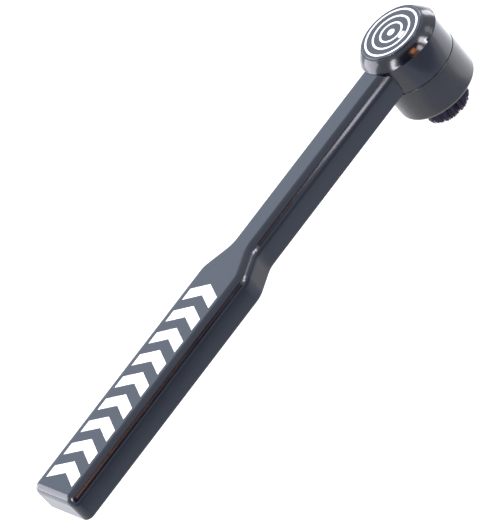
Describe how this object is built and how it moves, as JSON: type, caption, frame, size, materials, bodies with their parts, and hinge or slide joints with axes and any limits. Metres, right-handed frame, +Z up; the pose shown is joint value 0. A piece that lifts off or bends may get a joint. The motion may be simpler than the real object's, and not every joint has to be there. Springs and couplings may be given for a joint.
{
  "type": "stylus tip cleaning brush",
  "caption": "Small hand brush for cleaning a stylus tip: flat bar handle with a round head whose lower ring twists to move a short round bristle tuft in and out.",
  "frame": {"origin": "centre of the badge's flat top face, on the axis of the head", "axes": "+Z up along the head's axis out of the badge, so the bristles point to -Z; the handle runs from the head to -X; +Y completes the right-handed frame"},
  "size_m": [0.1166, 0.017, 0.0207],
  "materials": {
    "black_plastic": "semi-gloss moulded black plastic",
    "gloss_black_plastic": "polished black plastic",
    "black_plastic_satin": "satin black plastic",
    "badge_black": "smooth dark grey disc",
    "white_print": "flat white ink",
    "natural_plastic": "natural acetal",
    "carrier_plastic": "satin black acetal",
    "nylon_washer": "natural nylon",
    "zinc_steel": "zinc plated",
    "spring_steel": "oiled spring steel",
    "set_glue": "set amber glue",
    "bristle": "dense dark bristle ends"
  },
  "bodies": {
    "handle": {"handle": "black_plastic", "grip_marks": "white_print", "top_cap": "gloss_black_plastic", "badge_disc": "badge_black", "badge_rings": "white_print", "cap_screw": "zinc_steel", "guide_tube": "natural_plastic", "thrust_washer": "nylon_washer", "retaining_clip": "spring_steel"},
    "twist_ring": {"twist_ring": "black_plastic_satin", "cam_sleeve": "natural_plastic"},
    "brush": {"brush_carrier": "carrier_plastic", "drive_pins": "spring_steel", "bristle_glue": "set_glue", "bristle_tuft": "bristle"}
  },
  "joints": [
    {"name": "ring_twist", "type": "hinge", "parent": "handle", "child": "twist_ring", "pos_m": [0, 0, -0.0124], "axis": [0, 0, -1], "range_deg": [0, 360]},
    {"name": "brush_slide", "type": "slide", "parent": "handle", "child": "brush", "axis": [0, 0, 1], "range_m": [0, 0.005]}
  ],
  "couplings": [
    {"joint": "ring_twist", "follows": "brush_slide", "rad_per_m": 1256.6}
  ]
}
